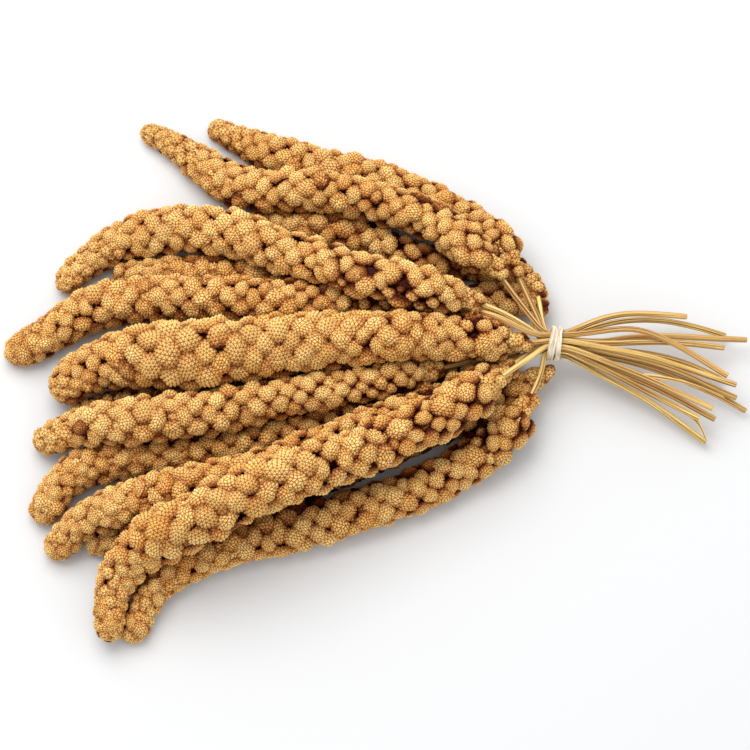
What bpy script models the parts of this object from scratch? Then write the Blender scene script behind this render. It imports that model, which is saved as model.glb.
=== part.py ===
"""A tied bunch of spray millet lying on a surface: fourteen knobbly seed heads, their straws and the tie.

Metres, +Z up. +X runs along the bunch toward the cut ends of the straws, and the origin lies on the surface
under the middle of the bunch. Each head is raised from a tube by a formula, so that its clusters of grain
stand out as knobs, and a settling loop lets the heads fall on each other without crossing.
"""

import math
import random
from collections import namedtuple

import bmesh
import bpy
import numpy as np
from mathutils import Matrix, Vector

# Routes are places in a view of the bunch, 750 x 750 pixels, from the front and steeply above.
VIEW_MM_PER_PIXEL = 0.55
VIEW_CENTRE = (376.0, 375.0)
VIEW_ELEVATION = math.radians(70)

MM = 0.001

# Sizes in mm
LEVEL_HEIGHT = 21.0
CLEARANCE = 0.35
HEAD_STEP = 4.0
FOOT_RADIUS = 3.6
FOOT_TAPER = 12.0
LEAST_RADIUS = 0.2
FIRST_RING = 1.2
LAST_RING_GAP = 3.0
STRAW_STEP = 2.5
FINE_STEP = 1.5
STRAW_RADIUS = 1.5
STRAW_LEAD = 4.0
STRAW_WAY_DOWN = 6.0
HELD_REACH = 6.0
TIE_VIEW = (553.0, 344.0)
TIE_HEIGHT = 25.0
TIE_WIDTH = 6.6
TIE_THICKNESS = 1.0
TIE_STRANDS = 3
TIE_SIDES = 20
TIE_SLANT = math.radians(-8)
SLOT_SIDE = 1.65
SLOT_ROW = 1.45
END_HEIGHT = 13.5
END_ROW = 2.6

# Shares of a head's length or local radius
SWELL_SHARE = 0.3
SLIM_SHARE = 0.6
BLUNT_SHARE = 1.3
KNOB_JITTER_AT_TIP = 0.03
KNOB_JITTER_AT_FOOT = 0.13
DIP_AT_TIP = 0.16
DIP_AT_FOOT = 0.38
DIP_GROWTH = 1.4
ROW_SHARE = 0.85
TURN_JITTER = 0.22
SLIDE_JITTER = 0.16
STRAW_THIN_START = 0.9
STRAND_GROOVE = 0.45
SHADES = (0.85, 1.15)

CURVE_SAMPLES = 24
STRAW_POINT_EVERY = 4
STRAND_POINTS = 3
SEED = 11

# The settling of the pile: mm moved a step, or the share of a fault mended in one step
SETTLING_STEPS = 420
PAIRS_EVERY = 20
PAIR_REACH = 9.0
PUSHES_A_STEP = 3
FALL = 0.35
VIEW_PULL = 0.08
STRAIGHTENING = 0.35
PUSH_SHARE = 0.8
STRAW_GIVE = 5.0
FLOOR_PRESS = 0.9
STRAW_LIFT = 1.0

# A head: its middle line from tip to foot, in view pixels, and its radii in mm. The straw: its height before the
# tie, its way into the tie, its slot there (across, up) and its way out to the cut end.
Head = namedtuple("Head", "route tip belly foot level sides height way_in slot way_out")
HEADS = (
    Head([(208, 122), (258, 144), (303, 162), (360, 174), (420, 194), (463, 218), (494, 243), (510, 262)],
         6.5, 12.2, 10.5, 0, 10, 24, [(520, 282), (531, 306), (541, 326)], (2, -1),
         [(600, 343), (620, 338), (660, 336), (700, 338), (746, 340)]),
    Head([(135, 123), (169, 139), (200, 162), (223, 179), (254, 188), (300, 190), (350, 194), (400, 209),
          (450, 231), (492, 266)],
         6.5, 12.0, 10.8, 2, 10, 38, [(508, 290), (528, 316)], (3, 1),
         [(590, 322), (620, 314), (650, 314), (686, 317)]),
    Head([(235, 222), (280, 224), (330, 228), (370, 240), (410, 257), (450, 264), (490, 265), (518, 270), (535, 286)],
         6.0, 10.5, 8.5, 0, 8, 22, [(541, 304), (545, 322)], (3, -3),
         [(590, 328), (620, 321), (660, 320), (700, 328), (726, 336)]),
    Head([(58, 290), (77, 267), (106, 248), (145, 232), (200, 228), (240, 235), (280, 251), (340, 272),
          (400, 285), (462, 300)],
         8.0, 13.2, 11.0, 2, 10, 50, [(495, 311), (525, 328)], (1, 1),
         [(600, 344), (650, 342), (690, 344), (722, 348)]),
    Head([(115, 275), (180, 271), (240, 278), (290, 290), (350, 298), (420, 303), (480, 300), (531, 303)],
         7.0, 11.0, 9.5, 0, 8, 22, [(533, 330)], (1, -3),
         [(600, 349), (650, 354), (690, 365), (720, 379)]),
    Head([(14, 357), (45, 338), (90, 309), (130, 299), (180, 299), (250, 300), (300, 302), (350, 304), (400, 306),
          (436, 304)],
         9.5, 13.2, 10.5, 1, 10, 56, [(470, 311), (500, 322), (528, 335)], (2, 3),
         [(590, 333), (625, 328), (645, 332), (665, 341), (690, 355), (708, 367), (723, 376)]),
    Head([(57, 398), (80, 376), (110, 363), (150, 357), (200, 356), (250, 352), (300, 347), (350, 342), (400, 340),
          (450, 338), (510, 342)],
         11.5, 18.5, 12.5, 2, 12, 38, [(532, 343)], (0, 3),
         [(600, 348), (640, 355), (680, 368), (731, 385)]),
    Head([(75, 418), (110, 404), (150, 397), (200, 392), (260, 386), (330, 376), (400, 366), (460, 356),
          (500, 352)],
         6.0, 10.5, 9.5, 0, 8, 22, [(527, 349)], (-1, -3),
         [(600, 356), (640, 365), (680, 380), (715, 395), (743, 411)]),
    Head([(40, 445), (70, 431), (110, 424), (150, 420), (200, 413), (250, 405), (300, 394), (350, 386), (400, 376),
          (426, 371)],
         8.5, 12.8, 10.0, 2, 10, 34, [(455, 365), (490, 357), (525, 348)], (0, -1),
         [(600, 352), (640, 360), (680, 373), (710, 388), (733, 398)]),
    Head([(50, 516), (60, 492), (76, 472), (98, 461), (135, 456), (200, 453), (250, 442), (300, 428), (360, 411),
          (420, 394), (490, 368)],
         9.5, 12.2, 10.0, 0, 10, 27, [(525, 354)], (-2, -1),
         [(600, 366), (620, 374), (660, 391), (711, 419)]),
    Head([(61, 549), (80, 528), (102, 511), (126, 502), (162, 493), (210, 483), (270, 467), (330, 442), (390, 417),
          (440, 400), (497, 376)],
         9.0, 12.2, 10.0, 1, 10, 42, [(525, 354)], (-1, 1),
         [(590, 357), (620, 368), (656, 383)]),
    Head([(98, 545), (130, 527), (170, 511), (220, 497), (270, 487), (320, 476), (380, 452), (440, 425), (490, 402),
          (537, 380)],
         7.0, 10.5, 9.5, 0, 8, 22, [(541, 366)], (-3, -3),
         [(600, 376), (640, 397), (670, 418), (702, 442)]),
    Head([(127, 628), (121, 602), (124, 576), (137, 553), (163, 530), (210, 507), (270, 480), (340, 455), (400, 433),
          (450, 408), (484, 387)],
         8.2, 14.8, 12.5, 2, 10, 48, [(508, 370), (531, 355)], (-2, 3),
         [(600, 361), (640, 377), (670, 391), (707, 408)]),
    Head([(136, 630), (148, 601), (172, 570), (211, 547), (280, 528), (340, 513), (400, 494), (450, 472), (487, 445),
          (521, 408)],
         7.8, 12.3, 11.5, 0, 10, 32, [(533, 388), (541, 368)], (-3, 1),
         [(600, 369), (635, 387), (665, 403), (694, 418)]),
)

HEAD_COLOUR = (0.62, 0.36, 0.13)
STRAW_COLOUR = (0.55, 0.36, 0.14)
TIE_COLOUR = (0.82, 0.78, 0.66)


def clear_scene():
    for old in list(bpy.data.objects):
        bpy.data.objects.remove(old, do_unlink=True)


def make_collection(name):
    collection = bpy.data.collections.new(name)
    bpy.context.scene.collection.children.link(collection)
    return collection


def make_material(name, colour, roughness, shade=1.0):
    material = bpy.data.materials.new(name)
    material.use_nodes = True
    surface = material.node_tree.nodes["Principled BSDF"]
    surface.inputs["Base Color"].default_value = [channel * shade for channel in colour] + [1.0]
    surface.inputs["Roughness"].default_value = roughness
    surface.inputs["Metallic"].default_value = 0.0
    return material


def add_object(name, data, material, collection):
    made = bpy.data.objects.new(name, data)
    made.data.materials.append(material)
    collection.objects.link(made)
    return made


def view_to_mm(points):
    """Places in the view plane in mm: to the right, and up."""
    return (np.array(points, float) - VIEW_CENTRE) * (VIEW_MM_PER_PIXEL, -VIEW_MM_PER_PIXEL)


def stand_up(across, up, height):
    """The point at this height that the view shows at (across, up)."""
    depth = (up - height * math.cos(VIEW_ELEVATION)) / math.sin(VIEW_ELEVATION)
    return np.stack([across, depth, height], axis=-1)


def smooth_line(points, step):
    """Points a step apart along a Catmull-Rom curve through the given points."""
    points = np.asarray(points, float)
    ends = np.vstack([2 * points[0] - points[1], points, 2 * points[-1] - points[-2]])
    dense = []
    for before, start, end, after in zip(ends, ends[1:], ends[2:], ends[3:]):
        for t in np.linspace(0, 1, CURVE_SAMPLES, endpoint=False):
            dense.append(0.5 * (2 * start + (end - before) * t
                                + (2 * before - 5 * start + 4 * end - after) * t ** 2
                                + (3 * start - before - 3 * end + after) * t ** 3))
    dense = np.array(dense + [points[-1]])
    run = np.concatenate([[0], np.cumsum(np.linalg.norm(np.diff(dense, axis=0), axis=1))])
    wanted = np.linspace(0, run[-1], max(2, round(run[-1] / step) + 1))
    return np.stack([np.interp(wanted, run, dense[:, k]) for k in range(dense.shape[1])], axis=-1)


def swell(share):
    """A smooth rise from 0 to 1."""
    share = np.clip(share, 0, 1)
    return share * share * (3 - 2 * share)


def head_radius(head, run, length):
    """The head's outer radius at this run from its tip: blunt tip, long swelling, slow taper, round foot."""
    share = run / length
    radius = head.tip + (head.belly - head.tip) * swell(share / SWELL_SHARE)
    radius = radius - (head.belly - head.foot) * swell((share - SWELL_SHARE) / SLIM_SHARE)
    from_tip = np.clip(run / (BLUNT_SHARE * head.tip), 0, 1)
    from_foot = np.clip((length - run) / FOOT_TAPER, 0, 1)
    rounding = np.sqrt(np.clip(1 - (1 - from_tip) ** 2, 0, 1))
    closing = np.sqrt(np.clip(1 - (1 - from_foot) ** 2, 0, 1))
    return np.maximum(radius * rounding, LEAST_RADIUS) * closing + FOOT_RADIUS * (1 - closing)


class Chain:
    """One head and its straw as a row of round beads, with the places where the view shows them."""

    def __init__(self, head):
        self.head = head
        floor_height = LEVEL_HEIGHT * head.level + head.belly
        seen = smooth_line(view_to_mm(head.route), HEAD_STEP)
        run = np.arange(len(seen)) * HEAD_STEP
        self.head_length = run[-1]
        self.head_count = len(seen)
        head_points = stand_up(seen[:, 0], seen[:, 1], np.full(len(seen), floor_height))
        self.head_radii = head_radius(head, run, run[-1])
        slot = self.slot_place()
        tip_height = END_HEIGHT + END_ROW * head.slot[1]
        way_in = view_to_mm(head.way_in)
        heights_in = np.linspace(head.height, TIE_HEIGHT + STRAW_WAY_DOWN, len(way_in) + 1)[:-1]
        way_out = view_to_mm(head.way_out)
        heights_out = np.linspace(slot[2], tip_height, len(way_out) + 1)[1:]
        stops = [head_points[-2], head_points[-1]]
        stops += [stand_up(*place, height) for place, height in zip(way_in, heights_in)]
        stops += [slot + (along, 0, 0) for along in (-HELD_REACH, 0.0, HELD_REACH)]
        stops += [stand_up(*place, height) for place, height in zip(way_out, heights_out)]
        straw = smooth_line(stops, STRAW_STEP)
        start = np.argmin(np.linalg.norm(straw - head_points[-1], axis=1))
        straw = straw[start + 1:]
        self.places = np.vstack([head_points, straw])
        self.radii = np.concatenate([self.head_radii, np.full(len(straw), STRAW_RADIUS)])
        self.held = np.abs(self.places[:, 0] - slot[0]) < HELD_REACH
        self.held[:self.head_count] = False
        self.places[self.held, 1:] = slot[1:]

    def slot_place(self):
        across, up = self.head.slot
        centre = stand_up(*view_to_mm([TIE_VIEW])[0], TIE_HEIGHT)
        return centre + (0, across * SLOT_SIDE, up * SLOT_ROW)

    def head_line(self):
        return self.places[:self.head_count]

    def straw_line(self):
        return self.places[self.head_count:]


class Pile:
    """All chains in one set of arrays, which settle together."""

    def __init__(self, chains):
        self.chains = chains
        self.places = np.vstack([chain.places for chain in chains])
        self.radii = np.concatenate([chain.radii for chain in chains])
        self.owner = np.concatenate([np.full(len(chain.places), k) for k, chain in enumerate(chains)])
        self.is_head = np.concatenate([np.arange(len(chain.places)) < chain.head_count
                                       for chain in chains])
        self.held = np.concatenate([chain.held for chain in chains])
        self.held_places = self.places[self.held].copy()
        self.seen = np.stack([self.places[:, 0],
                              self.places[:, 1] * math.sin(VIEW_ELEVATION)
                              + self.places[:, 2] * math.cos(VIEW_ELEVATION)], axis=-1)
        count = len(self.places)
        inner = np.arange(1, count - 1)
        self.inner = inner[self.owner[inner - 1] == self.owner[inner + 1]]
        self.give = np.where(self.is_head, 1.0, STRAW_GIVE)
        self.give[self.held] = 0.0

    def near_pairs(self, reach):
        """Beads of different chains that are within reach of touching."""
        first, second = [], []
        for k in range(len(self.places)):
            later = np.arange(k + 1, len(self.places))
            gaps = np.linalg.norm(self.places[later] - self.places[k], axis=1)
            gaps -= self.radii[later] + self.radii[k]
            close = later[(gaps < reach) & (self.owner[later] != self.owner[k])]
            first.append(np.full(len(close), k))
            second.append(close)
        return np.concatenate(first), np.concatenate(second)

    def push_apart(self, pairs):
        first, second = pairs
        away = self.places[second] - self.places[first]
        distance = np.linalg.norm(away, axis=1)
        short = self.radii[first] + self.radii[second] + CLEARANCE - distance
        touching = (short > 0) & (self.give[first] + self.give[second] > 0)
        first, second, away, distance, short = (
            each[touching] for each in (first, second, away, distance, short))
        move = away / distance[:, None] * short[:, None] * PUSH_SHARE
        share = self.give[first] / (self.give[first] + self.give[second])
        total = np.zeros_like(self.places)
        hits = np.zeros(len(self.places))
        np.add.at(total, first, -move * share[:, None])
        np.add.at(total, second, move * (1 - share)[:, None])
        np.add.at(hits, first, 1)
        np.add.at(hits, second, 1)
        self.places += total / np.maximum(np.sqrt(hits), 1)[:, None]

    def pull_to_view(self):
        self.places[:, 0] += VIEW_PULL * (self.seen[:, 0] - self.places[:, 0])
        depth = stand_up(self.seen[:, 0], self.seen[:, 1], self.places[:, 2])[:, 1]
        self.places[:, 1] += VIEW_PULL * (depth - self.places[:, 1])

    def straighten(self):
        middle = 0.5 * (self.places[self.inner - 1] + self.places[self.inner + 1])
        self.places[self.inner] += STRAIGHTENING * (middle - self.places[self.inner])

    def stay_put(self):
        lowest = np.where(self.is_head, self.radii - FLOOR_PRESS, self.radii + STRAW_LIFT)
        self.places[:, 2] = np.maximum(self.places[:, 2], lowest)
        self.places[self.held] = self.held_places

    def settle(self):
        for step in range(SETTLING_STEPS):
            if step % PAIRS_EVERY == 0:
                pairs = self.near_pairs(PAIR_REACH)
            late = step / SETTLING_STEPS
            self.places[self.is_head, 2] -= FALL * (1 - late) ** 2
            self.pull_to_view()
            self.straighten()
            for _ in range(PUSHES_A_STEP):
                self.push_apart(pairs)
            self.stay_put()
        start = 0
        for chain in self.chains:
            chain.places = self.places[start:start + len(chain.places)]
            start += len(chain.places)


def turning_frames(line):
    """A sideways and an upward unit vector at each point of a line, carried along it without twist."""
    tangents = np.gradient(line, axis=0)
    tangents /= np.linalg.norm(tangents, axis=1)[:, None]
    side = np.cross(tangents[0], (0, 0, 1))
    side /= np.linalg.norm(side)
    frames = []
    for tangent in tangents:
        side = side - tangent * (side @ tangent)
        side /= np.linalg.norm(side)
        frames.append((side, np.cross(side, tangent)))
    return frames


def ring_runs(head, length):
    """Where the rings of knobs sit: a row apart, closer where the head is thin."""
    runs, at = [], FIRST_RING
    while at < length - LAST_RING_GAP:
        runs.append(at)
        at += 2 * math.pi * ROW_SHARE * float(head_radius(head, at, length)) / head.sides
    return runs + [length]


def keep_clear(points, centres, own_radii, owner, pile):
    """Draws each point back to its own side of the plane between its head and whatever lies next to it."""
    for other in range(len(pile.chains)):
        if other == owner:
            continue
        line, radii, is_head = pile.fine[other]
        distance = np.linalg.norm(points[:, None, :] - line[None, :, :], axis=2) - radii[None, :]
        nearest = np.argmin(distance, axis=1)
        away = line[nearest] - centres
        span = np.linalg.norm(away, axis=1)
        away /= span[:, None]
        share = np.where(is_head[nearest], own_radii / (own_radii + radii[nearest]), 1.0)
        bare = np.where(is_head[nearest], CLEARANCE, radii[nearest] + CLEARANCE)
        excess = np.einsum("ij,ij->i", points - centres, away) - (span * share - bare)
        points -= away * np.maximum(excess, 0)[:, None]
    return points


def head_mesh(name, owner, pile, rng):
    """A tube whose points stand out and sink in by turns, so that every second one is a knob of grain."""
    chain = pile.chains[owner]
    head = chain.head
    line = smooth_line(chain.head_line(), 1.0)
    length = len(line) - 1.0
    frames = turning_frames(line)
    runs = ring_runs(head, length)
    mesh = bmesh.new()
    bmesh.ops.create_grid(mesh, x_segments=len(runs) - 1, y_segments=head.sides, size=0.5)
    order = sorted(mesh.verts, key=lambda vert: (round(vert.co.x, 5), round(vert.co.y, 5)))
    points, centres, radii, raised = [], [], [], []
    for ring, run in enumerate(runs):
        radius = float(head_radius(head, run, length))
        depth = DIP_AT_TIP + (DIP_AT_FOOT - DIP_AT_TIP) * swell(DIP_GROWTH * run / length)
        at = min(int(round(run)), len(line) - 1)
        side, up = frames[at]
        last = ring == len(runs) - 1
        shifts = [rng.uniform(-TURN_JITTER, TURN_JITTER) for _ in range(head.sides)]
        uneven = KNOB_JITTER_AT_TIP + (KNOB_JITTER_AT_FOOT - KNOB_JITTER_AT_TIP) * run / length
        swells = [1 + rng.uniform(-uneven, uneven) for _ in range(head.sides)]
        slides = [rng.uniform(-SLIDE_JITTER, SLIDE_JITTER) for _ in range(head.sides)]
        for corner in range(head.sides + 1):
            place = corner % head.sides
            stands_out = (ring + place) % 2 == 0 and not last
            angle = 2 * math.pi * (place + (0 if last else shifts[place])) / head.sides
            reach = FOOT_RADIUS if last else radius * (swells[place] if stands_out else 1 - depth)
            along = 0 if last or ring == 0 else slides[place] * 2 * math.pi * radius / head.sides
            tangent = np.cross(up, side)
            centre = line[at] + tangent * along
            points.append(centre + reach * (math.cos(angle) * side + math.sin(angle) * up))
            centres.append(centre)
            radii.append(radius)
            raised.append(stands_out)
    points = keep_clear(np.array(points), np.array(centres), np.array(radii), owner, pile)
    is_knob = dict(zip(order, raised))
    for vert, point in zip(order, points):
        vert.co = Vector(point * MM)
    split_between_dips(mesh, is_knob)
    bmesh.ops.remove_doubles(mesh, verts=mesh.verts, dist=1e-6)
    ends = [edge for edge in mesh.edges if edge.is_boundary]
    bmesh.ops.edgeloop_fill(mesh, edges=ends)
    flatten_on_floor(mesh)
    bmesh.ops.recalc_face_normals(mesh, faces=mesh.faces)
    data = bpy.data.meshes.new(name)
    mesh.to_mesh(data)
    mesh.free()
    return data


def split_between_dips(mesh, is_knob):
    """Cuts each four-sided face from dip to dip, so that every knob is a pyramid of its own."""
    for face in list(mesh.faces):
        dips = [vert for vert in face.verts if not is_knob[vert]]
        if len(dips) == 2:
            bmesh.utils.face_split(face, dips[0], dips[1])
    bmesh.ops.triangulate(mesh, faces=[face for face in mesh.faces if len(face.verts) > 3])


def flatten_on_floor(mesh):
    """The knobs that the head lies on are pressed flat at the surface."""
    everything = mesh.verts[:] + mesh.edges[:] + mesh.faces[:]
    bmesh.ops.bisect_plane(mesh, geom=everything, dist=1e-6, plane_co=(0, 0, 0), plane_no=(0, 0, -1),
                           clear_outer=True)
    open_edges = [edge for edge in mesh.edges if edge.is_boundary]
    if open_edges:
        bmesh.ops.edgeloop_fill(mesh, edges=open_edges)


def make_head(name, owner, pile, rng, collection):
    shade = rng.uniform(*SHADES)
    data = head_mesh(name, owner, pile, rng)
    return add_object(name, data, make_material(name, HEAD_COLOUR, 0.75, shade), collection)


def make_straw(name, chain, rng, collection):
    """A round straw, a little thicker toward the cut end."""
    line = chain.straw_line()
    in_tie = np.flatnonzero(chain.held[chain.head_count:])
    picked = set(range(0, len(line) - 2, STRAW_POINT_EVERY)) | {in_tie[0], in_tie[-1], len(line) - 1}
    picked = sorted(index for index in picked if not in_tie[0] < index < in_tie[-1])
    out = chain.head_line()[-1] - chain.head_line()[-2]
    out /= np.linalg.norm(out)
    foot = chain.head_line()[-1]
    points = np.vstack([foot + out * (2 * CLEARANCE), foot + out * STRAW_LEAD, line[picked[1:]]])
    curve = bpy.data.curves.new(name, "CURVE")
    curve.dimensions = "3D"
    curve.bevel_depth = STRAW_RADIUS * MM
    curve.bevel_resolution = 1
    curve.use_fill_caps = True
    spline = curve.splines.new("POLY")
    spline.points.add(len(points) - 1)
    for number, (knot, place) in enumerate(zip(spline.points, points)):
        knot.co = (*(place * MM), 1.0)
        knot.radius = STRAW_THIN_START + (1 - STRAW_THIN_START) * number / (len(points) - 1)
    spline.use_smooth = True
    shade = rng.uniform(*SHADES)
    return add_object(name, curve, make_material(name, STRAW_COLOUR, 0.55, shade), collection)


def tie_reach(pile, centre):
    """The radius that clears every straw where the tie goes round them."""
    reach = 0.0
    for chain in pile.chains:
        line = chain.straw_line()
        near = line[np.abs(line[:, 0] - centre[0]) < TIE_WIDTH / 2 + 1]
        off = np.linalg.norm(near[:, 1:] - centre[1:], axis=1)
        reach = max(reach, float(off.max()) + STRAW_RADIUS)
    return reach + CLEARANCE


def make_tie(pile, collection):
    """Strands wound side by side: a profile with one bulge a strand, spun round the straws."""
    centre = stand_up(*view_to_mm([TIE_VIEW])[0], TIE_HEIGHT)
    inner = tie_reach(pile, centre) / math.cos(math.pi / TIE_SIDES)
    half = TIE_WIDTH / 2
    strand_width = TIE_WIDTH / TIE_STRANDS
    profile = [(-half, inner), (half, inner)]
    for strand in range(TIE_STRANDS):
        for k in range(STRAND_POINTS):
            turn = math.pi * (k + 0.5) / STRAND_POINTS
            along = half - (strand + 0.5 - 0.5 * math.cos(turn)) * strand_width
            bulge = STRAND_GROOVE + (1 - STRAND_GROOVE) * math.sin(turn)
            profile.append((along, inner + TIE_THICKNESS * bulge))
    mesh = bmesh.new()
    verts = [mesh.verts.new(Vector((along, 0, out)) * MM) for along, out in profile]
    edges = [mesh.edges.new((verts[k], verts[(k + 1) % len(verts)])) for k in range(len(verts))]
    bmesh.ops.spin(mesh, geom=verts + edges, cent=(0, 0, 0), axis=(1, 0, 0), angle=2 * math.pi,
                   steps=TIE_SIDES, use_merge=True, use_duplicate=False)
    bmesh.ops.remove_doubles(mesh, verts=mesh.verts, dist=1e-6)
    bmesh.ops.recalc_face_normals(mesh, faces=mesh.faces)
    data = bpy.data.meshes.new("tie_band")
    mesh.to_mesh(data)
    mesh.free()
    tie = add_object("tie_band", data, make_material("tie_band", TIE_COLOUR, 0.7), collection)
    tie.matrix_world = Matrix.Translation(Vector(centre * MM)) @ Matrix.Rotation(TIE_SLANT, 4, "Z")
    data.shade_smooth()
    return tie


def fine_line(chain):
    """Close points along a head and its straw, the radius there, and which of them are the head's."""
    head_line = smooth_line(chain.head_line(), FINE_STEP)
    straw_line = smooth_line(chain.straw_line(), FINE_STEP)
    runs = np.linspace(0, chain.head_length, len(head_line))
    head_radii = head_radius(chain.head, runs, chain.head_length)
    radii = np.concatenate([head_radii, np.full(len(straw_line), STRAW_RADIUS)])
    return np.vstack([head_line, straw_line]), radii, np.arange(len(radii)) < len(head_line)


def main():
    clear_scene()
    collection = make_collection("tied_millet_bunch")
    pile = Pile([Chain(head) for head in HEADS])
    pile.settle()
    pile.fine = [fine_line(chain) for chain in pile.chains]
    for number, chain in enumerate(pile.chains, start=1):
        rng = random.Random(SEED + number)
        make_head(f"head_{number:02d}", number - 1, pile, rng, collection)
        make_straw(f"straw_{number:02d}", chain, rng, collection)
    make_tie(pile, collection)


main()
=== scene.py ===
# %% [markdown]
# # A tied bunch of spray millet
#
# Fourteen dried seed heads lie side by side on a pale table, tips to the left. Each head is a long spike of
# ball-shaped clusters, and each cluster is packed with round grains about 1.4 mm across. The straws run
# together to the right, through one off-white tie, and end in open cuts.
#
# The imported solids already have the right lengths, bends and knobs. This lesson covers every head with
# clusters of grain, rounds the six-sided straws and leaves a dry leaf on two of them, winds the tie, and then
# lights and frames the bunch from steeply above.

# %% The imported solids
import math
import random

import bmesh
import bpy
import numpy as np
from mathutils import Matrix, Vector, noise
from mathutils.bvhtree import BVHTree


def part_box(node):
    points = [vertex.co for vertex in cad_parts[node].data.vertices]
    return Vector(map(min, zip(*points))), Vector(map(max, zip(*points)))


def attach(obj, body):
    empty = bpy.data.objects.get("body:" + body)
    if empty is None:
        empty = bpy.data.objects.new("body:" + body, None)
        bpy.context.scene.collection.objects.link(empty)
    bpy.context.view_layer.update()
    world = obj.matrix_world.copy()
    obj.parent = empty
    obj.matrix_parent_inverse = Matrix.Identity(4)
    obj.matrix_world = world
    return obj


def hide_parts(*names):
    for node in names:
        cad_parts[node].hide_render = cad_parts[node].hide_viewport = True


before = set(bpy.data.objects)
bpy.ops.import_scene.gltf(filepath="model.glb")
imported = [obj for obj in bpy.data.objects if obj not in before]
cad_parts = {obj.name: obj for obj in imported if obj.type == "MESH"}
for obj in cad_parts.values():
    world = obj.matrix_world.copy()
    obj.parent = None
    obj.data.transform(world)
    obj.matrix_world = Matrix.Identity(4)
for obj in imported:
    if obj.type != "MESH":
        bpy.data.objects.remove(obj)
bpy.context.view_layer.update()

head_names = sorted(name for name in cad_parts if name.startswith("head_"))
straw_names = sorted(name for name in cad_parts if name.startswith("straw_"))
print("solids:", len(head_names), "heads,", len(straw_names), "straws and a tie")

# %% [markdown]
# Every new piece starts from the solid that it will stand for. A solid arrives as loose triangles, so its
# copy is welded first. A finished piece keeps its object at the origin, with its place in its mesh, as the
# solids do.

# %% Welding a copy, and handing a piece over
MM = 0.001
WELD = 1e-6


def welded_copy(name):
    """A bmesh of the solid with its loose triangles joined."""
    mesh = bmesh.new()
    mesh.from_mesh(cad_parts[name].data)
    bmesh.ops.remove_doubles(mesh, verts=mesh.verts, dist=WELD)
    mesh.normal_update()
    return mesh


def hand_over(name, mesh, material, stands_for):
    """Makes the object, lets it ride on the bunch and hides the solid that it stands for."""
    data = bpy.data.meshes.new(name)
    mesh.to_mesh(data)
    mesh.free()
    data.materials.append(material)
    data.shade_smooth()
    piece = bpy.data.objects.new(name, data)
    bpy.context.scene.collection.objects.link(piece)
    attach(piece, "root")
    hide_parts(stands_for)
    return piece


# %% [markdown]
# Materials are built from nodes. Two small helpers keep the trees readable: one adds a node and fills its
# sockets, the other mixes two colours by a factor.

# %% Helpers for materials
def new_material(name, roughness):
    """A material and its tree, with the roughness on the shader's own socket."""
    material = bpy.data.materials.new(name)
    material.use_nodes = True
    shader = material.node_tree.nodes["Principled BSDF"]
    shader.inputs["Roughness"].default_value = roughness
    return material, material.node_tree, shader


def add_node(tree, kind, **sockets):
    """A node whose sockets take a plain value, or the output of another node."""
    node = tree.nodes.new(kind)
    for socket, value in sockets.items():
        place = node.inputs[socket.replace("_", " ")]
        if isinstance(value, bpy.types.NodeSocket):
            tree.links.new(value, place)
        else:
            place.default_value = value
    return node


def mix_colours(tree, factor, first, second, blend="MIX"):
    """The output of a colour mix of two colours or outputs."""
    node = tree.nodes.new("ShaderNodeMix")
    node.data_type = "RGBA"
    node.blend_type = blend
    for place, value in ((0, factor), (6, first), (7, second)):
        if isinstance(value, bpy.types.NodeSocket):
            tree.links.new(value, node.inputs[place])
        else:
            node.inputs[place].default_value = value if place == 0 else (*value, 1.0)
    return node.outputs[2]


def from_attribute(tree, name):
    """The value that the mesh stores at each point under this name."""
    node = tree.nodes.new("ShaderNodeAttribute")
    node.attribute_name = name
    return node


# %% [markdown]
# ## The grain
#
# Dried millet is golden: pale straw on a grain's round top. Painted shade turns it orange in the seams between
# grains, rust on the sides of a cluster and a dark red-brown deep between clusters. Four values stored on the
# mesh carry this: `grain` runs from the seam to the top of a grain, `rise` from the inside of a cluster to
# its outside, and each cluster has one `tone`, which is drawn, and one `shade`, which falls with how hidden
# it lies and sets how much painted shade it gets.
#
# A cell pattern adds the differences from grain to grain. Where the mesh has no raised grains, `grain` is
# below zero and the same cells draw them in colour instead, with painted shade in their seams. The rust and
# red-brown painted shade is multiplied onto the colour, so that the grains still show through it.

# %% The golden grain
SPECK_SIZE = 1.3 * MM
PLAIN = -1.0
GOLD = (0.96, 0.57, 0.155)
AMBER = (0.88, 0.42, 0.082)
LIGHT_GOLD = (1.0, 0.70, 0.25)
PALE_SPECK = (0.97, 0.73, 0.33)
# Painted shade: the darker colour in the seams between grains
DARK_SEAM_SHADE = (0.24, 0.07, 0.010)
LIGHT_SEAM_SHADE = (0.34, 0.13, 0.023)
# Painted shade, multiplied onto the colour: rust on a cluster's sides and dark red-brown deep between clusters
SIDE_SHADE = (0.52, 0.23, 0.08)
DEEP_SHADE = (0.15, 0.05, 0.04)


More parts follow.
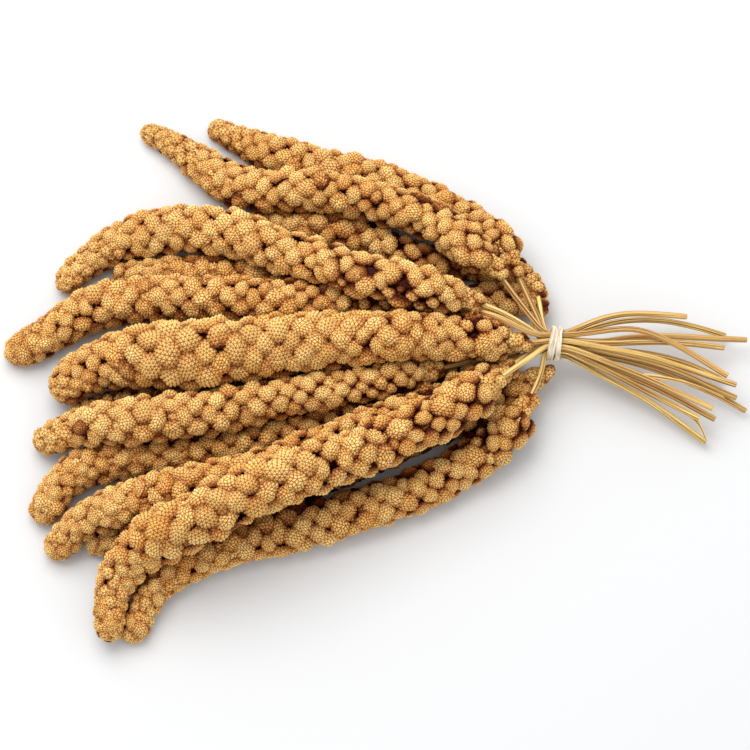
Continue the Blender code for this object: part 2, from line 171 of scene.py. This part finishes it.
def make_grain_material():
    material, tree, shader = new_material("golden_grain", 0.6)
    shader.inputs["Specular IOR Level"].default_value = 0.12
    place = add_node(tree, "ShaderNodeTexCoord").outputs["Object"]
    drift = add_node(tree, "ShaderNodeTexNoise", Vector=place, Scale=38.0, Detail=3.0)
    cells = add_node(tree, "ShaderNodeTexVoronoi", Vector=place, Scale=1 / SPECK_SIZE)
    speck = add_node(tree, "ShaderNodeSeparateColor", Color=cells.outputs["Color"])
    tone = from_attribute(tree, "tone").outputs["Fac"]
    warm = add_node(tree, "ShaderNodeMapRange", Value=drift.outputs["Fac"], From_Min=0.38, From_Max=0.62)
    top = mix_colours(tree, warm.outputs["Result"], GOLD, AMBER)
    top = mix_colours(tree, tone, top, LIGHT_GOLD)
    pale = add_node(tree, "ShaderNodeMapRange", Value=speck.outputs["Red"], From_Min=0.4, From_Max=1.0,
                    To_Max=0.6)
    top = mix_colours(tree, pale.outputs["Result"], top, PALE_SPECK)
    # Painted shade in the seams between grains; a grain's top keeps the full colour
    seam = mix_colours(tree, tone, DARK_SEAM_SHADE, LIGHT_SEAM_SHADE)
    grain = from_attribute(tree, "grain").outputs["Fac"]
    raised = add_node(tree, "ShaderNodeMapRange", Value=grain, From_Min=0.1, From_Max=0.36)
    # Where the mesh has no raised grains, the cells draw grains with painted shade in their seams
    drawn = add_node(tree, "ShaderNodeMapRange", Value=cells.outputs["Distance"], From_Min=0.55, From_Max=0.2)
    plain = add_node(tree, "ShaderNodeMapRange", Value=grain, From_Min=0.0, From_Max=PLAIN)
    colour = mix_colours(tree, raised.outputs["Result"], seam, top)
    colour = mix_colours(tree, plain.outputs["Result"], colour,
                         mix_colours(tree, drawn.outputs["Result"], seam, top))
    rise = add_node(tree, "ShaderNodeMath", Value=from_attribute(tree, "rise").outputs["Fac"])
    rise.operation = "MULTIPLY"
    tree.links.new(from_attribute(tree, "shade").outputs["Fac"], rise.inputs[1])
    # Painted shade: the lower rise times shade, the more rust on a cluster's sides and red-brown deeper in
    side = add_node(tree, "ShaderNodeMapRange", Value=rise.outputs["Value"], From_Min=0.92, From_Max=0.36)
    colour = mix_colours(tree, side.outputs["Result"], colour, SIDE_SHADE, "MULTIPLY")
    deep = add_node(tree, "ShaderNodeMapRange", Value=rise.outputs["Value"], From_Min=0.62, From_Max=0.28)
    colour = mix_colours(tree, deep.outputs["Result"], colour, DEEP_SHADE, "MULTIPLY")
    tree.links.new(colour, shader.inputs["Base Color"])
    bump = add_node(tree, "ShaderNodeBump", Height=cells.outputs["Distance"], Strength=0.4, Distance=0.4 * MM)
    bump.invert = True
    tree.links.new(bump.outputs["Normal"], shader.inputs["Normal"])
    return material


grain_material = make_grain_material()

# %% [markdown]
# ## One cluster of grain
#
# A cluster is a rough ball of grains. It could be hundreds of tiny balls, but the bunch has nearly five
# thousand clusters, so each grain is one raised face instead: an icosphere is roughened, its inner part is
# taken away because it would lie inside the head, and `poke` lifts the middle of each face to a grain's top.
# The edges between grains are marked sharp, so each grain is shaded as a small round thing of its own.
#
# There are six kinds, so that a grain stays about the same size on clusters of every size. A wide one has a
# grain on each of the ball's triangles, and a middling one on each pair of them. A bead is like a middling
# one, but keeps more of the ball, because it stands freer. A small one starts from a coarser ball. So does a
# whole one, which keeps all of it and sits round a straw. A buried one, which nobody sees, has no raised
# grains.

# %% The shapes of cluster
GRAIN_LIFT = 0.15
LUMP = 0.24
SHAPES_OF_CLUSTER = 8
UNEVENNESS = 0.035
# Each kind: the ball's subdivisions, whether its triangles are joined in pairs, the height on the ball below
# which it is cut away, and whether it has raised grains
BALLS = {"wide": (3, False, 0.2, True), "middling": (3, True, 0.2, True), "bead": (3, True, -0.1, True),
         "small": (2, False, -0.1, True), "whole": (2, False, -2.0, True), "buried": (2, False, 0.3, False)}


def grain_cluster(name, rng, subdivisions, in_pairs, cut_height, with_grains):
    """A mesh of unit radius, +Z out of the head, closed where it sits in the head."""
    ball = bmesh.new()
    grain = ball.verts.layers.float.new("grain")
    rise = ball.verts.layers.float.new("rise")
    bmesh.ops.create_icosphere(ball, subdivisions=subdivisions, radius=1.0)
    turn = Matrix.Rotation(rng.uniform(0, math.tau), 3, "X")
    turn = turn @ Matrix.Rotation(rng.uniform(0, math.tau), 3, "Z")
    bmesh.ops.rotate(ball, verts=ball.verts, cent=(0, 0, 0), matrix=turn)
    if in_pairs:
        bmesh.ops.join_triangles(ball, faces=ball.faces, angle_face_threshold=math.pi,
                                 angle_shape_threshold=math.pi)
    inner = [face for face in ball.faces if face.calc_center_median().z < cut_height]
    bmesh.ops.delete(ball, geom=inner, context="FACES")
    grains = ball.faces[:]
    bmesh.ops.holes_fill(ball, edges=[edge for edge in ball.edges if edge.is_boundary], sides=0)
    shift = Vector((rng.uniform(0, 50), rng.uniform(0, 50), 0))
    long, wide = rng.uniform(1.0, 1.25), rng.uniform(0.88, 1.0)
    for vert in ball.verts:
        vert[grain] = 0.0 if with_grains else PLAIN
        # Lower on the ball, lower rise: painted shade on a cluster's sides and underside
        vert[rise] = max(0.5 + 0.5 * vert.co.z, 0.35) if cut_height < -1 else max(0.25 + 0.75 * vert.co.z, 0.0)
        vert.co *= 1 + LUMP * noise.noise(vert.co * 1.7 + shift) + rng.uniform(-UNEVENNESS, UNEVENNESS)
        vert.co = Vector((vert.co.x * long, vert.co.y * wide, vert.co.z))
    if with_grains:
        for edge in ball.edges:
            edge.smooth = False
        tops = bmesh.ops.poke(ball, faces=grains, offset=GRAIN_LIFT)["verts"]
        for vert in tops:
            vert.co *= rng.uniform(0.97, 1.04)
            vert[grain] = rng.uniform(0.75, 1.0)
    bmesh.ops.recalc_face_normals(ball, faces=ball.faces)
    data = bpy.data.meshes.new(name)
    ball.to_mesh(data)
    ball.free()
    return data


cluster_rng = random.Random(4)
clusters = {kind: [grain_cluster(f"{kind}_cluster_{k}", cluster_rng, *ball) for k in range(SHAPES_OF_CLUSTER)]
            for kind, ball in BALLS.items()}
for kind, shapes in clusters.items():
    print("triangles in a", kind, "cluster:", sum(len(face.vertices) - 2 for face in shapes[0].polygons))

# %% [markdown]
# ## Which clusters show
#
# Much of the heads' surface lies inside the pile or on the table, where nobody can look. So straight lines
# are cast from each place, outward, upward and to the sides, through one search tree over all the heads'
# solids. The fewer of them leave the pile, the darker the cluster's colour is painted, as painted shade, and
# one that hardly any line leaves gets a coarser shape.

# %% Looking away from a head
UP = Vector((0, 0, 1))
LOOKS = 6
FLANKS = 4
TILTED_WAYS = 2
LOOK_FROM = 0.6 * MM
LOOK_TILT = 0.9
LOWEST_LOOK = -0.25
OPEN_PLACE = 16
HARDLY_SEEN = 5

pile = bmesh.new()
for name in head_names:
    pile.from_mesh(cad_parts[name].data)
pile_tree = BVHTree.FromBMesh(pile)
pile.free()


def free_lines(place, out, radius):
    """How many lines away from a ball whose outside is at this place leave the pile, above the table."""
    free = 0
    across = out.orthogonal().normalized()
    flanks = [out + Matrix.Rotation(k * math.tau / FLANKS, 3, out) @ across for k in range(FLANKS)]
    for number, way in enumerate([out, out + UP] + flanks):
        way = way.normalized()
        start = place + (way - out) * radius + way * LOOK_FROM
        side = way.orthogonal().normalized() * LOOK_TILT
        looks = LOOKS if number < TILTED_WAYS else 0
        tilted = [way + Matrix.Rotation(k * math.tau / LOOKS, 3, way) @ side for k in range(looks)]
        for line in [way, UP] + tilted:
            if line.normalized().z > LOWEST_LOOK and pile_tree.ray_cast(start, line)[0] is None:
                free += 1
    return free


# %% [markdown]
# ## The line of a straw
#
# A straw's solid is a six-sided tube. Its flat ends are found by joining the coplanar triangles, and the
# rings between them by walking outward from the cut end. The middles of the rings are the straw's line, which
# the next cells use to set the last few clusters of a head on its straw, and to round the straw.

# %% Rings and middle line of a straw
FLAT_ANGLE = math.radians(0.1)
JOIN_ANGLE = math.radians(40)
SIDES = 6


def rings_from(cap):
    """The rings of a tube in order, found by walking outward from one cap."""
    ring = list(cap.verts)
    rings, met = [], set(ring)
    while ring:
        rings.append(ring)
        near = {link.other_vert(vert) for vert in ring for link in vert.link_edges}
        ring = sorted(near - met, key=lambda vert: vert.index)
        met |= near
    return rings


def middle(ring):
    return sum((vert.co for vert in ring), Vector()) / len(ring)


def open_tube(name):
    """A welded straw with its two caps as single faces, the cut one first, and its rings from the cut on."""
    tube = welded_copy(name)
    tube.verts.layers.float_vector.new("along_round")
    tube.verts.layers.float.new("pith")
    tube.edges.layers.float.new("crease_edge")
    bmesh.ops.dissolve_limit(tube, angle_limit=FLAT_ANGLE, verts=[], edges=tube.edges)
    caps = sorted((face for face in tube.faces if len(face.verts) == SIDES),
                  key=lambda face: face.calc_center_median().x)
    bmesh.ops.join_triangles(tube, faces=tube.faces, angle_face_threshold=JOIN_ANGLE,
                             angle_shape_threshold=math.pi)
    tube.verts.index_update()
    return tube, (caps[-1], caps[0]), rings_from(caps[-1])


def straw_line(name):
    """The straw's middle line from the head's foot to the cut end."""
    tube, _, rings = open_tube(name)
    line = [middle(ring) for ring in reversed(rings)]
    tube.free()
    return line


# %% [markdown]
# ## Covering a head
#
# On the solid, every second point stands out as a knob. A cluster goes on each knob with its outside on the
# knob's point, so the head keeps the solid's size and form, and smaller clusters fill the dips, painted darker
# as painted shade. Near the foot the clusters stand apart like beads, and toward the tip they sit deeper and
# merge, as on a real head. The welded copy, drawn in by two millimetres, stays as the heart that shows between
# them, painted dark as painted shade, its grains drawn in colour.

# %% Clusters on a head
HEART_DEPTH = 2.0 * MM
# A low rise paints the heart dark, as painted shade
HEART_RISE = 0.4
KNOB_LIFT = 0.04
APART_FROM = 0.4
APART_OVER = 0.5
WIDE_FROM = 6.4 * MM
SMALL_BELOW = 4.0 * MM
MISSING_SHARE = 0.08
BEADS_FROM = 0.45
FILLED_DIPS = 0.45
LOOKED_FROM = 0.75
DARKEST = 0.5
# How much paler than the others a head is
PALE_HEADS = {"head_04": 0.22, "head_09": 0.25, "head_02": 0.06, "head_08": 0.08, "head_13": -0.05,
              "head_14": 0.04}


def kind_of_cluster(radius, apart, free):
    if free < HARDLY_SEEN:
        return "small" if free else "buried"
    if apart > BEADS_FROM and radius > SMALL_BELOW:
        return "bead"
    return "wide" if radius > WIDE_FROM else "small" if radius < SMALL_BELOW else "middling"


def cluster_spots(solid, rng):
    """The place, outward direction, radius, shade and kind of each cluster."""
    spots = []
    tip = min(vert.co.x for vert in solid.verts)
    foot = max(vert.co.x for vert in solid.verts)
    for vert in solid.verts:
        links = vert.link_edges
        edge = sum(link.calc_length() for link in links) / len(links)
        around = sum((link.other_vert(vert).co for link in links), Vector()) / len(links)
        lift = (vert.co - around).dot(vert.normal) / edge
        free = free_lines(vert.co, vert.normal, edge * LOOKED_FROM)
        # Painted shade: the fewer lines leave the pile, the darker the cluster
        shade = DARKEST + (1 - DARKEST) * min(free / OPEN_PLACE, 1.0)
        apart = min(max(((vert.co.x - tip) / (foot - tip) - APART_FROM) / APART_OVER, 0.0), 1.0)
        if lift > KNOB_LIFT and rng.random() > MISSING_SHARE * apart:
            radius = edge * (0.74 - 0.11 * apart) * rng.uniform(0.92 - 0.07 * apart, 1.06 + 0.1 * apart)
            place = vert.co - vert.normal * radius * (0.94 - 0.10 * apart)
            shade *= rng.uniform(0.86, 1.0)
            spots.append((place, vert.normal.copy(), radius, shade, kind_of_cluster(radius, apart, free)))
        elif free and rng.random() < FILLED_DIPS:
            radius = edge * rng.uniform(0.38, 0.5)
            place = vert.co - vert.normal * radius * (0.5 + 0.5 * apart)
            # Clusters in the dips get more painted shade
            spots.append((place, vert.normal.copy(), radius, shade * rng.uniform(0.66, 0.9), "small"))
    return spots


# Each whorl: its place along the straw and its clusters' radius, in mm, and how many there are
WHORLS = ((-1.0, 4.4, 4), (3.5, 3.9, 3), (8.0, 3.4, 2))
WHORL_ACROSS = 2.0 * MM


def whorl_spots(line, rng):
    """The last clusters of a head, in whorls round the start of its straw."""
    spots = []
    along = (line[1] - line[0]).normalized()
    for run, radius, count in WHORLS:
        start = rng.uniform(0, math.tau)
        for k in range(count):
            turn = start + (k + rng.uniform(-0.2, 0.2)) * math.tau / count
            across = Matrix.Rotation(turn, 3, along) @ along.orthogonal().normalized()
            place = line[0] + along * (run + rng.uniform(-1, 1)) * MM + across * WHORL_ACROSS
            size = radius * MM * rng.uniform(0.85, 1.15)
            spots.append((place, across, size, rng.uniform(0.85, 1.0), "whole"))
    return spots


used_kinds = []


def dress_head(name, number):
    """The head's heart and all its clusters in one mesh."""
    rng = random.Random(200 + number)
    head = welded_copy(name)
    grain = head.verts.layers.float.new("grain")
    rise = head.verts.layers.float.new("rise")
    spots = cluster_spots(head, rng) + whorl_spots(straw_line(name.replace("head", "straw")), rng)
    for vert, normal in [(vert, vert.normal.copy()) for vert in head.verts]:
        vert.co -= normal * HEART_DEPTH
        vert[grain] = PLAIN
        vert[rise] = HEART_RISE
    used_kinds.append([kind for *_, kind in spots])
    counts, tones, shades = [len(head.verts)], [0.2], [1.0]
    for place, out, radius, shade, kind in spots:
        shape = rng.choice(clusters[kind])
        spin = Matrix.Rotation(rng.uniform(0, math.tau), 4, "Z")
        set_down = Matrix.Translation(place) @ out.to_track_quat("Z", "Y").to_matrix().to_4x4() @ spin
        set_down = set_down @ Matrix.Scale(radius, 4)
        shape.transform(set_down)
        head.from_mesh(shape, face_normals=False, vertex_normals=False)
        shape.transform(set_down.inverted())
        counts.append(len(shape.vertices))
        tones.append(rng.uniform(0.0, 0.8) + PALE_HEADS.get(name, 0.0))
        shades.append(shade)
    for vert in head.verts:
        vert.co.z = max(vert.co.z, 0.0)
    piece = hand_over("grain_" + name, head, grain_material, name)
    for label, values in (("tone", tones), ("shade", shades)):
        layer = piece.data.attributes.new(label, "FLOAT", "POINT")
        layer.data.foreach_set("value", np.clip(np.repeat(values, counts), 0, 1))
    return piece


head_pieces = [dress_head(name, number) for number, name in enumerate(head_names)]
for piece in head_pieces:
    piece.data.calc_loop_triangles()
print("triangles on the heads:", [len(piece.data.loop_triangles) for piece in head_pieces],
      sum(len(piece.data.loop_triangles) for piece in head_pieces))
print("clusters of each kind:", {kind: sum(kinds.count(kind) for kinds in used_kinds) for kind in BALLS})

# %% [markdown]
# ## The straws
#
# A straw is a smooth, slightly shiny tube with fine lines along it, straw yellow turning olive or pinkish
# from one to the next. The lines must follow each bend, so the mesh stores where every point is along and
# round its straw, and the pattern is read from those two values. The solid's six sides become round with
# Subdivision Surface, and an inset at the cut end leaves a rim round a paler pith.
#
# Two straws keep a dry leaf that peels off. Each is a cube cut into short lengths, then pressed flat,
# narrowed toward its end and bowed, because a flat strip with a little thickness stays closed from every
# side.

# %% The straw's finish
STRAW_YELLOW = (1.0, 0.73, 0.25)
STRAW_PINK = (0.70, 0.40, 0.14)
STRAW_LINE = (0.20, 0.070, 0.008)
STRAW_OLIVE = (0.50, 0.31, 0.07)
PITH = (0.80, 0.68, 0.44)


def make_straw_material():
    material, tree, shader = new_material("dry_straw", 0.4)
    shader.inputs["Specular IOR Level"].default_value = 0.3
    place = from_attribute(tree, "along_round").outputs["Vector"]
    stretched = add_node(tree, "ShaderNodeMapping", Vector=place, Scale=(12.0, 4.2, 4.2)).outputs["Vector"]
    lines = add_node(tree, "ShaderNodeTexNoise", Vector=stretched, Scale=1.0, Detail=2.0)
    in_lengths = add_node(tree, "ShaderNodeMapping", Vector=place, Scale=(45.0, 0.5, 0.5)).outputs["Vector"]
    patches = add_node(tree, "ShaderNodeTexNoise", Vector=in_lengths, Scale=1.0, Detail=2.0)
    tone = from_attribute(tree, "tone").outputs["Fac"]
    colour = mix_colours(tree, tone, STRAW_YELLOW, STRAW_PINK)
    lined = add_node(tree, "ShaderNodeMapRange", Value=lines.outputs["Fac"], From_Min=0.42, From_Max=0.56)
    colour = mix_colours(tree, lined.outputs["Result"], STRAW_LINE, colour)
    olive = add_node(tree, "ShaderNodeMapRange", Value=patches.outputs["Fac"], From_Min=0.5, From_Max=0.68,
                     To_Max=0.6)
    colour = mix_colours(tree, olive.outputs["Result"], colour, STRAW_OLIVE)
    pith = from_attribute(tree, "pith").outputs["Fac"]
    colour = mix_colours(tree, pith, colour, PITH)
    tree.links.new(colour, shader.inputs["Base Color"])
    bump = add_node(tree, "ShaderNodeBump", Height=lines.outputs["Fac"], Strength=0.7, Distance=0.5 * MM)
    tree.links.new(bump.outputs["Normal"], shader.inputs["Normal"])
    return material


straw_material = make_straw_material()

# %% Round straws with a cut end
ROUND_SHRINK = 0.833
PLUMPNESS = 1.1
RIM = 0.5 * MM
CREASE = 0.8
# Leaves left on two straws: where each starts and ends and how far it bows, in mm
LEAVES = {"straw_13": ((143.0, -9.6, 26.0), (189.0, -20.7, 20.5), 2.5),
          "straw_12": ((169.5, -28.0, 15.0), (179.0, -40.6, 7.8), 1.5)}
LEAF_WIDTH = 2.8 * MM
LEAF_THICKNESS = 0.7 * MM


def add_leaf(tube, start, end, bow):
    """A dry leaf that peels off a straw: a flat strip, narrower to its end, that bows to one side."""
    place = tube.verts.layers.float_vector["along_round"]
    start, end = Vector(start) * MM, Vector(end) * MM
    for vert in tube.verts:
        vert.tag = True
    strip = bmesh.ops.create_cube(tube, size=1.0)["verts"]
    runs = [edge for edge in {edge for vert in strip for edge in vert.link_edges}
            if abs(edge.verts[0].co.x - edge.verts[1].co.x) > 0.5]
    bmesh.ops.subdivide_edges(tube, edges=runs, cuts=9, use_grid_fill=True)
    side = UP.cross(end - start).normalized()
    for vert in [vert for vert in tube.verts if not vert.tag]:
        run, across, up = vert.co.x + 0.5, vert.co.y, vert.co.z
        vert[place] = Vector((3 + run * (end - start).length, 0.9 * across, 0.4))
        vert.co = start.lerp(end, run) + side * (bow * MM * math.sin(math.pi * run)
                                                 + across * LEAF_WIDTH * (1 - 0.6 * run))
        vert.co.z += up * LEAF_THICKNESS + abs(across) * 0.8 * MM


def dress_straw(name, number):
    rng = random.Random(500 + number)
    tube, (cut, root), rings = open_tube(name)
    place = tube.verts.layers.float_vector["along_round"]
    pith = tube.verts.layers.float["pith"]
    crease = tube.edges.layers.float["crease_edge"]
    run, last = rng.uniform(0, 1), middle(rings[0])
    for ring in rings:
        centre = middle(ring)
        run += (centre - last).length
        last = centre
        for vert in ring:
            out = (vert.co - centre).normalized()
            vert[place] = Vector((run, out.z, out.y))
            vert.co = centre + (vert.co - centre) * PLUMPNESS / ROUND_SHRINK
    bmesh.ops.inset_region(tube, faces=[cut], thickness=RIM, depth=-0.1 * MM)
    bmesh.ops.inset_region(tube, faces=[cut], thickness=0.15 * MM, depth=-0.6 * MM)
    for vert in cut.verts:
        vert[pith] = 1.0
    for cap in (cut, root):
        for edge in cap.edges:
            edge[crease] = CREASE
    if name in LEAVES:
        add_leaf(tube, *LEAVES[name])
    piece = hand_over("dry_" + name, tube, straw_material, name)
    tone = piece.data.attributes.new("tone", "FLOAT", "POINT")
    tone.data.foreach_set("value", [rng.random()] * len(piece.data.vertices))
    rounding = piece.modifiers.new("round", "SUBSURF")
    rounding.levels = rounding.render_levels = 2
    return piece


straw_pieces = [dress_straw(name, number) for number, name in enumerate(straw_names)]
print("straws:", [len(piece.data.vertices) for piece in straw_pieces])

# %% [markdown]
# ## The tie
#
# The tie is a strip of off-white fibre, wound by hand: two wide turns side by side, a narrow one over them
# and a cut tail that sticks out below. An outline of eight points is spun round the straws for each turn. The
# turns lean by different angles and waver a little, so they cross, and dark slits open between them. The
# fibres run the way the strip runs, so the pattern is read from the place round the straws that the mesh
# stores.

# %% The tie's finish
def make_tie_material():
    material, tree, shader = new_material("off_white_fibre", 0.7)
    place = from_attribute(tree, "along_round").outputs["Vector"]
    fibres = add_node(tree, "ShaderNodeTexNoise", Vector=add_node(
        tree, "ShaderNodeMapping", Vector=place, Scale=(3200.0, 160.0, 160.0)).outputs["Vector"],
        Scale=1.0, Detail=3.0)
    shade = add_node(tree, "ShaderNodeMapRange", Value=fibres.outputs["Fac"], From_Min=0.36, From_Max=0.55)
    colour = mix_colours(tree, shade.outputs["Result"], (0.48, 0.34, 0.20), (0.82, 0.75, 0.60))
    tree.links.new(colour, shader.inputs["Base Color"])
    bump = add_node(tree, "ShaderNodeBump", Height=fibres.outputs["Fac"], Strength=0.8, Distance=0.4 * MM)
    tree.links.new(bump.outputs["Normal"], shader.inputs["Normal"])
    return material


tie_material = make_tie_material()

# %% Winding the turns
# Each turn: its place along the straws, its width and how far it stands out, in mm, and its lean in degrees
TURNS = ((-1.9, 3.4, 0.0, -12.0), (1.9, 3.2, 0.0, -9.0), (0.3, 1.6, 0.5, -16.0))
STRIP_THICKNESS = 1.1 * MM
TURN_POINTS = 8
TURN_STEPS = 48
WAVER = 0.45 * MM
TAIL_LENGTH = 7.0 * MM


def wind_turn(band, radius, along, width, lean, number):
    """One flat turn of the strip round the X axis, wavering as it goes."""
    place = band.verts.layers.float_vector["along_round"]
    ring = bmesh.ops.create_circle(band, segments=TURN_POINTS, radius=0.5)["verts"]
    stand = Matrix.Translation((0, 0, radius)) @ Matrix.Rotation(math.pi / 2, 4, "X")
    bmesh.ops.transform(band, matrix=stand @ Matrix.Diagonal((width, STRIP_THICKNESS, 1, 1)), verts=ring)
    edges = list({edge for vert in ring for edge in vert.link_edges})
    bmesh.ops.spin(band, geom=ring + edges, cent=(0, 0, 0), axis=(1, 0, 0), angle=math.tau, steps=TURN_STEPS,
                   use_merge=True, use_duplicate=False)
    fresh = [vert for vert in band.verts if not vert.tag]
    lean_over = Matrix.Rotation(math.radians(lean), 3, "Z")
    for vert in fresh:
        vert[place] = Vector((vert.co.x + number * 0.03, vert.co.y, vert.co.z))
        waver = noise.noise(Vector((vert.co.y * 130, vert.co.z * 130, number * 7.0)))
        vert.co.x += along + waver * WAVER * 2
        vert.co = lean_over @ vert.co
        vert.tag = True


def add_tail(band, radius):
    """The cut end of the strip, which leaves the turns at the lower front."""
    place = band.verts.layers.float_vector["along_round"]
    tail = bmesh.ops.create_cube(band, size=1.0)["verts"]
    bmesh.ops.transform(band, verts=tail, matrix=Matrix.Diagonal((TAIL_LENGTH, 2.2 * MM, 0.8 * MM, 1)))
    long_edges = [edge for edge in {edge for vert in tail for edge in vert.link_edges}
                  if abs(edge.verts[0].co.x - edge.verts[1].co.x) > MM]
    bmesh.ops.subdivide_edges(band, edges=long_edges, cuts=4, use_grid_fill=True)
    set_down = Matrix.Translation((0.006, -radius * 0.86, -radius * 0.42)) \
        @ Matrix.Rotation(math.radians(-24), 4, "Z") @ Matrix.Rotation(math.radians(50), 4, "X")
    for vert in [vert for vert in band.verts if not vert.tag]:
        vert[place] = Vector((vert.co.y, vert.co.x, 0.1))
        vert.co.z += 6.0 * vert.co.x ** 2 - 0.05 * vert.co.x
        vert.co = set_down @ vert.co
        vert.tag = True


def dress_tie():
    low, high = (Vector(corner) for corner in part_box("tie_band"))
    radius = (high.z - low.z) / 2
    band = bmesh.new()
    band.verts.layers.float_vector.new("along_round")
    for number, (along, width, out, lean) in enumerate(TURNS):
        wind_turn(band, radius - STRIP_THICKNESS / 2 + out * MM, along * MM, width * MM, lean, number)
    add_tail(band, radius)
    bmesh.ops.recalc_face_normals(band, faces=band.faces)
    bmesh.ops.translate(band, verts=band.verts, vec=(low + high) / 2)
    piece = hand_over("wound_tie", band, tie_material, "tie_band")
    rounding = piece.modifiers.new("round", "SUBSURF")
    rounding.levels = rounding.render_levels = 1
    return piece


tie_piece = dress_tie()
print("points on the tie:", len(tie_piece.data.vertices))

# %% [markdown]
# ## Table, light and camera
#
# The bunch lies on a plain pale surface under soft light from the upper left, and the camera looks down at it
# from the front, 70 degrees above the surface, through a long lens.

# %% The table
TABLE_GREY = 0.66
TABLE_REACH = 3.0


def make_table():
    sheet = bmesh.new()
    bmesh.ops.create_grid(sheet, x_segments=1, y_segments=1, size=TABLE_REACH)
    data = bpy.data.meshes.new("table")
    sheet.to_mesh(data)
    sheet.free()
    material, tree, shader = new_material("pale_table", 0.8)
    shader.inputs["Base Color"].default_value = (TABLE_GREY, TABLE_GREY, TABLE_GREY, 1.0)
    data.materials.append(material)
    table = bpy.data.objects.new("table", data)
    bpy.context.scene.collection.objects.link(table)


make_table()

# %% The light
WINDOW_PLACE = (-0.32, 0.46, 1.15)
WINDOW_SIZE = 1.15
WINDOW_POWER = 13.2


def add_area_light(name, place, size, power, aim=(0.0, 0.0, 0.0)):
    light = bpy.data.lights.new(name, "AREA")
    light.shape = "DISK"
    light.size = size
    light.energy = power
    lamp = bpy.data.objects.new(name, light)
    lamp.location = place
    lamp.rotation_euler = (Vector(aim) - Vector(place)).to_track_quat("-Z", "Y").to_euler()
    bpy.context.scene.collection.objects.link(lamp)


add_area_light("window", WINDOW_PLACE, WINDOW_SIZE, WINDOW_POWER)
world = bpy.data.worlds.new("soft_room")
world.use_nodes = True
world.node_tree.nodes["Background"].inputs["Color"].default_value = (0.97, 0.985, 1.0, 1.0)
world.node_tree.nodes["Background"].inputs["Strength"].default_value = 1.0
bpy.context.scene.world = world
bpy.context.scene.view_settings.view_transform = "Standard"

# %% The camera
ELEVATION = math.radians(70)
DISTANCE = 1.6
FIELD_WIDTH = 0.4125
AIM = Vector((-0.00055, 0.0, 0.0))


def make_camera():
    lens = bpy.data.cameras.new("camera")
    lens.angle = 2 * math.atan(FIELD_WIDTH / 2 / DISTANCE)
    camera = bpy.data.objects.new("camera", lens)
    camera.location = AIM + DISTANCE * Vector((0, -math.cos(ELEVATION), math.sin(ELEVATION)))
    camera.rotation_euler = (math.pi / 2 - ELEVATION, 0, 0)
    bpy.context.scene.collection.objects.link(camera)
    bpy.context.scene.camera = camera


make_camera()
